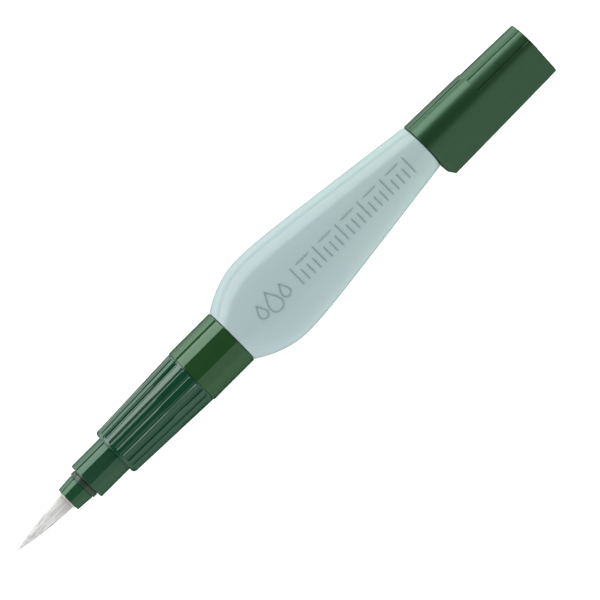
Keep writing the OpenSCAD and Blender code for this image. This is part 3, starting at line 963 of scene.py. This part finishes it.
def make_cap():
    around = 640
    edge = 0.28 * MM
    end_edge = 0.14 * MM
    bottom = LINER_HI.x
    # the bore, from its bottom out to the mouth
    bore = [
        (bottom, LINER_R),
        (LINER_LO.x, LINER_R),
        (LINER_LO.x, CAP_BORE_R),
        (CAP_LO.x + 0.3 * MM, CAP_BORE_R),
        (CAP_LO.x + 0.06 * MM, CAP_BORE_R + 0.08 * MM),
        (CAP_LO.x, CAP_BORE_R + 0.3 * MM),
    ]
    rings = [circle_from_lobe(x, r, around) for x, r in bore]
    # the skin, from the mouth's rounded edge to the end, with rings close together where the flats begin
    rings += [
        cap_ring(edge * from_cos, edge * from_sin, False, around)
        for from_cos, from_sin in quarter_turn(5)
    ]
    places = [edge + 0.06 * MM, edge + 0.2 * MM, edge + 0.4 * MM, LOBE_CHAMFER_LEN - 0.03 * MM,
              LOBE_CHAMFER_LEN + 0.03 * MM, LOBE_CHAMFER_LEN + 0.2 * MM]
    places += every(2.0 * MM, FLAT_AT - 1.2 * MM, 1.0 * MM)
    places += every(FLAT_AT - 1.1 * MM, FLAT_AT + 0.4 * MM, 0.045 * MM)
    places += every(FLAT_AT + 0.6 * MM, CAP_LEN - 0.5 * MM, 1.0 * MM)
    places.append(CAP_LEN - end_edge - 0.05 * MM)
    rings += [cap_ring(place, 0, True, around) for place in places]
    rings += [
        cap_ring(CAP_LEN - end_edge * from_sin, end_edge * from_cos, True, around)
        for from_cos, from_sin in quarter_turn(4)
    ]
    rings.append([(x, y * 0.9, AXIS_Z + (z - AXIS_Z) * 0.9) for x, y, z in rings[-1]])
    mesh = bmesh.new()
    bridge(mesh, rings, pole_start=(bottom, 0, AXIS_Z), pole_end=(CAP_HI.x, 0, AXIS_Z))
    cap = add_object("cap_body", mesh, sharp_deg=40)
    finish_piece(cap, "cap", "cap_green", MAT["cap_green"], "cap_shell")


make_bristles()
make_nose()
make_seal()
make_sleeve()
make_grip()
make_collar()
make_tank()
make_marks()
make_cap()

# ---------------------------------------------------------------- floor, lights and camera

MIDDLE_X = (cad_box[0][0] + cad_box[1][0]) / 2


def facing(place, right, up, back):
    """World matrix of a light or a camera at a place, from its own three axes."""
    return Matrix.Translation(place) @ Matrix((right, up, back)).transposed().to_4x4()


def make_floor():
    """White paper just under the pen. Gloss doesn't mirror it: the world does that instead."""
    mesh = bmesh.new()
    size = 3.0
    below = cad_box[0][2] - 0.05 * MM
    corners = ((-size, -size), (size, -size), (size, size), (-size, size))
    mesh.faces.new([mesh.verts.new((x, y, below)) for x, y in corners])
    floor = add_object("studio_floor", mesh)
    material, nodes, links, shader = new_material("studio_floor")
    paper = noise(nodes, links, stretched(nodes, links, (40, 40, 40)), 1.0, 3.0)
    links.new(mixed(nodes, links, paper, (0.9, 0.9, 0.9), (0.93, 0.93, 0.93)), shader.inputs["Base Color"])
    shader.inputs["Roughness"].default_value = 0.9
    shader.inputs["Specular IOR Level"].default_value = 0.1
    floor.data.materials.append(material)
    floor.visible_glossy = False
    return floor


def panel(name, low_deg, high_deg, radiance, seen_diffuse=True, length=1.6, reach=0.5):
    """Long light parallel to the pen. The angles are from straight up towards +Y, seen from the pen."""
    ends = [
        Vector((MIDDLE_X, reach * math.sin(math.radians(a)), AXIS_Z + reach * math.cos(math.radians(a))))
        for a in (low_deg, high_deg)
    ]
    centre = (ends[0] + ends[1]) / 2
    width = (ends[0] - ends[1]).length
    data = bpy.data.lights.new(name, "AREA")
    data.shape = "RECTANGLE"
    data.size = length
    data.size_y = width
    data.energy = radiance * math.pi * length * width
    light = bpy.data.objects.new(name, data)
    bpy.context.scene.collection.objects.link(light)
    towards = (Vector((MIDDLE_X, 0, AXIS_Z)) - centre).normalized()
    back = -towards
    along = Vector((1, 0, 0))
    light.matrix_world = facing(centre, along, back.cross(along), back)
    light.visible_camera = False
    light.visible_diffuse = seen_diffuse
    return light


def make_floor_light(floor):
    """Light for the floor alone, which the pen doesn't block, so the floor stays white round it."""
    floor_only = bpy.data.collections.new("floor_only")
    floor_only.objects.link(floor)
    data = bpy.data.lights.new("floor_lift", "AREA")
    data.size = 1.2
    data.energy = 2.2 * math.pi * data.size ** 2
    light = bpy.data.objects.new("floor_lift", data)
    light.location = (MIDDLE_X, 0, 0.6)
    bpy.context.scene.collection.objects.link(light)
    light.visible_camera = False
    light.visible_glossy = False
    light.light_linking.receiver_collection = floor_only
    light.light_linking.blocker_collection = floor_only


def make_lights():
    """Two long softboxes that only gloss sees, and a weak wash from the key's side."""
    panel("key_softbox", 45, 84, 7.2, seen_diffuse=False)
    panel("fill_panel", -84, -27, 1.35, seen_diffuse=False)
    wash = panel("side_wash", 30, 70, 0.5, length=1.0, reach=0.9)
    wash.visible_glossy = False


def make_world():
    """Surroundings that differ for the camera, for gloss and for diffuse light."""
    world = bpy.data.worlds.new("studio")
    bpy.context.scene.world = world
    world.use_nodes = True
    nodes, links = world.node_tree.nodes, world.node_tree.links
    background = nodes["Background"]
    place = nodes.new("ShaderNodeTexCoord")
    split = nodes.new("ShaderNodeSeparateXYZ")
    links.new(place.outputs["Generated"], split.inputs[0])
    rays = nodes.new("ShaderNodeLightPath")
    # what gloss mirrors: a dark room, and pale surroundings that fade out below, brighter on the key's side
    height = split.outputs["Z"]
    fade = ranged(nodes, links, height, -0.98, 0.1, 0.04, 1)
    dim = mixed(nodes, links, fade, (0, 0, 0), (1.05, 1.25, 1.1))
    dim = mixed(nodes, links, ranged(nodes, links, height, 0.1, 0.13, 0, 1), dim, (0.03, 0.03, 0.03))
    bright = mixed(nodes, links, fade, (0, 0, 0), (4.4, 5.4, 4.8))
    bright = mixed(nodes, links, ranged(nodes, links, height, -0.1, -0.07, 0, 1), bright, (0.03, 0.03, 0.03))
    key_side = ranged(nodes, links, split.outputs["Y"], -0.15, 0.15, 0, 1)
    mirrored = mixed(nodes, links, key_side, dim, bright)
    tone = mixed(nodes, links, rays.outputs["Is Glossy Ray"], (0.95, 0.96, 0.97), mirrored)
    tone = mixed(nodes, links, rays.outputs["Is Camera Ray"], tone, (0.93, 0.94, 0.95))
    links.new(tone, background.inputs["Color"])


def make_camera():
    """Long lens above the pen, turned so that the pen rises to the right at 45 degrees."""
    seen = 114 * MM
    distance = 0.95
    foot_x = GRIP_LO.x + 7.5 * MM
    aim = Vector((GRIP_LO.x + 45.5 * MM, -4.28 * MM, AXIS_Z))
    data = bpy.data.cameras.new("camera")
    data.sensor_width = 36
    data.lens = data.sensor_width * distance / seen
    data.clip_start = 0.01
    data.clip_end = 20
    camera = bpy.data.objects.new("camera", data)
    bpy.context.scene.collection.objects.link(camera)
    place = Vector((foot_x, 0, AXIS_Z + distance))
    back = (place - aim).normalized()
    turn = math.radians(45)
    up_hint = Vector((math.sin(turn), math.cos(turn), 0))
    right = up_hint.cross(back).normalized()
    up = back.cross(right)
    camera.matrix_world = facing(place, right, up, back)
    bpy.context.scene.camera = camera


make_floor_light(make_floor())
make_lights()
make_world()
make_camera()
bpy.context.scene.view_settings.view_transform = "Standard"
